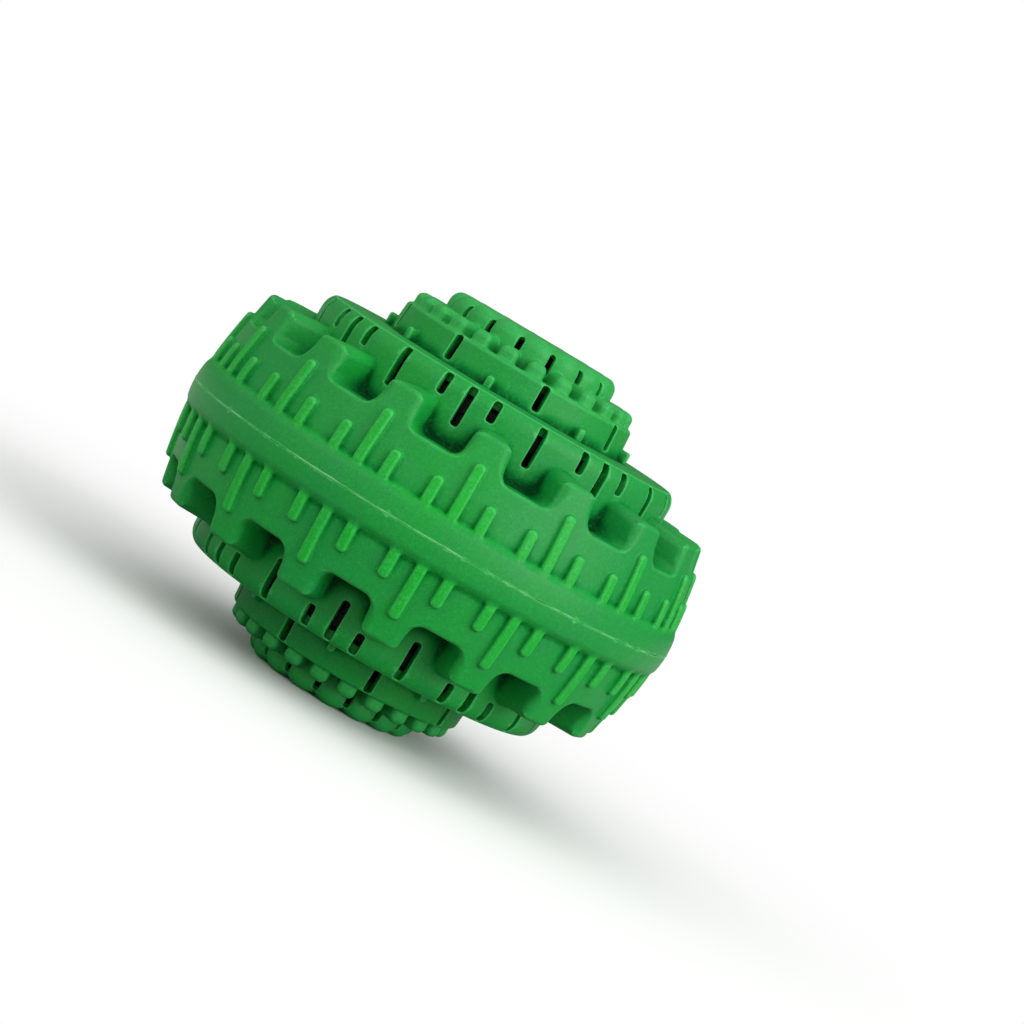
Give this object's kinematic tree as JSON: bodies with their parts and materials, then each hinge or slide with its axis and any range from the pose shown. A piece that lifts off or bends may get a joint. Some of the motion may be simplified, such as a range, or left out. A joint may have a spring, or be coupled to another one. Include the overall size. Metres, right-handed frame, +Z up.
{
  "type": "laundry ball",
  "caption": "Stepped, slotted rubber laundry ball in two halves that pull apart, with a ribbed wall, a belt and a plugged cage of ceramic beads inside.",
  "frame": {"origin": "centre of the lower pole's flat face, which the ball stands on", "axes": "+Z up along the ball's axis, through both poles; a long slot of the second tier faces +X, and the slots, ribs and pockets repeat round Z"},
  "size_m": [0.0996, 0.0996, 0.0754],
  "materials": {
    "soft_rubber": "satin moulded green rubber",
    "cage_plastic": "satin moulded charcoal plastic",
    "divider_plastic": "satin moulded dark grey plastic",
    "infrared_ceramic": "matt fired ceramic, red-brown",
    "antibacterial_ceramic": "matt fired ceramic, cream",
    "alkaline_ceramic": "matt fired ceramic, dark grey",
    "dechlorinating_ceramic": "matt fired ceramic, grey-green"
  },
  "bodies": {
    "lower_half": {"lower_shell": "soft_rubber", "lower_cage": "cage_plastic", "divider": "divider_plastic", "infrared_bead_01": "infrared_ceramic", "infrared_bead_02": "infrared_ceramic", "infrared_bead_03": "infrared_ceramic", "infrared_bead_04": "infrared_ceramic", "infrared_bead_05": "infrared_ceramic", "infrared_bead_06": "infrared_ceramic", "infrared_bead_07": "infrared_ceramic", "infrared_bead_08": "infrared_ceramic", "infrared_bead_09": "infrared_ceramic", "infrared_bead_10": "infrared_ceramic", "infrared_bead_11": "infrared_ceramic", "antibacterial_bead_01": "antibacterial_ceramic", "antibacterial_bead_02": "antibacterial_ceramic", "antibacterial_bead_03": "antibacterial_ceramic", "antibacterial_bead_04": "antibacterial_ceramic", "antibacterial_bead_05": "antibacterial_ceramic", "antibacterial_bead_06": "antibacterial_ceramic", "antibacterial_bead_07": "antibacterial_ceramic", "antibacterial_bead_08": "antibacterial_ceramic", "antibacterial_bead_09": "antibacterial_ceramic", "antibacterial_bead_10": "antibacterial_ceramic", "antibacterial_bead_11": "antibacterial_ceramic", "alkaline_bead_01": "alkaline_ceramic", "alkaline_bead_02": "alkaline_ceramic", "alkaline_bead_03": "alkaline_ceramic", "alkaline_bead_04": "alkaline_ceramic", "alkaline_bead_05": "alkaline_ceramic", "alkaline_bead_06": "alkaline_ceramic", "alkaline_bead_07": "alkaline_ceramic", "alkaline_bead_08": "alkaline_ceramic", "alkaline_bead_09": "alkaline_ceramic", "alkaline_bead_10": "alkaline_ceramic", "alkaline_bead_11": "alkaline_ceramic", "dechlorinating_bead_01": "dechlorinating_ceramic", "dechlorinating_bead_02": "dechlorinating_ceramic", "dechlorinating_bead_03": "dechlorinating_ceramic", "dechlorinating_bead_04": "dechlorinating_ceramic", "dechlorinating_bead_05": "dechlorinating_ceramic", "dechlorinating_bead_06": "dechlorinating_ceramic", "dechlorinating_bead_07": "dechlorinating_ceramic", "dechlorinating_bead_08": "dechlorinating_ceramic", "dechlorinating_bead_09": "dechlorinating_ceramic", "dechlorinating_bead_10": "dechlorinating_ceramic", "dechlorinating_bead_11": "dechlorinating_ceramic"},
    "upper_half": {"upper_shell": "soft_rubber", "upper_cage": "cage_plastic"}
  },
  "joints": [
    {"name": "halves_part", "type": "slide", "parent": "lower_half", "child": "upper_half", "axis": [0, 0, 1], "range_m": [0, 0.07]}
  ]
}
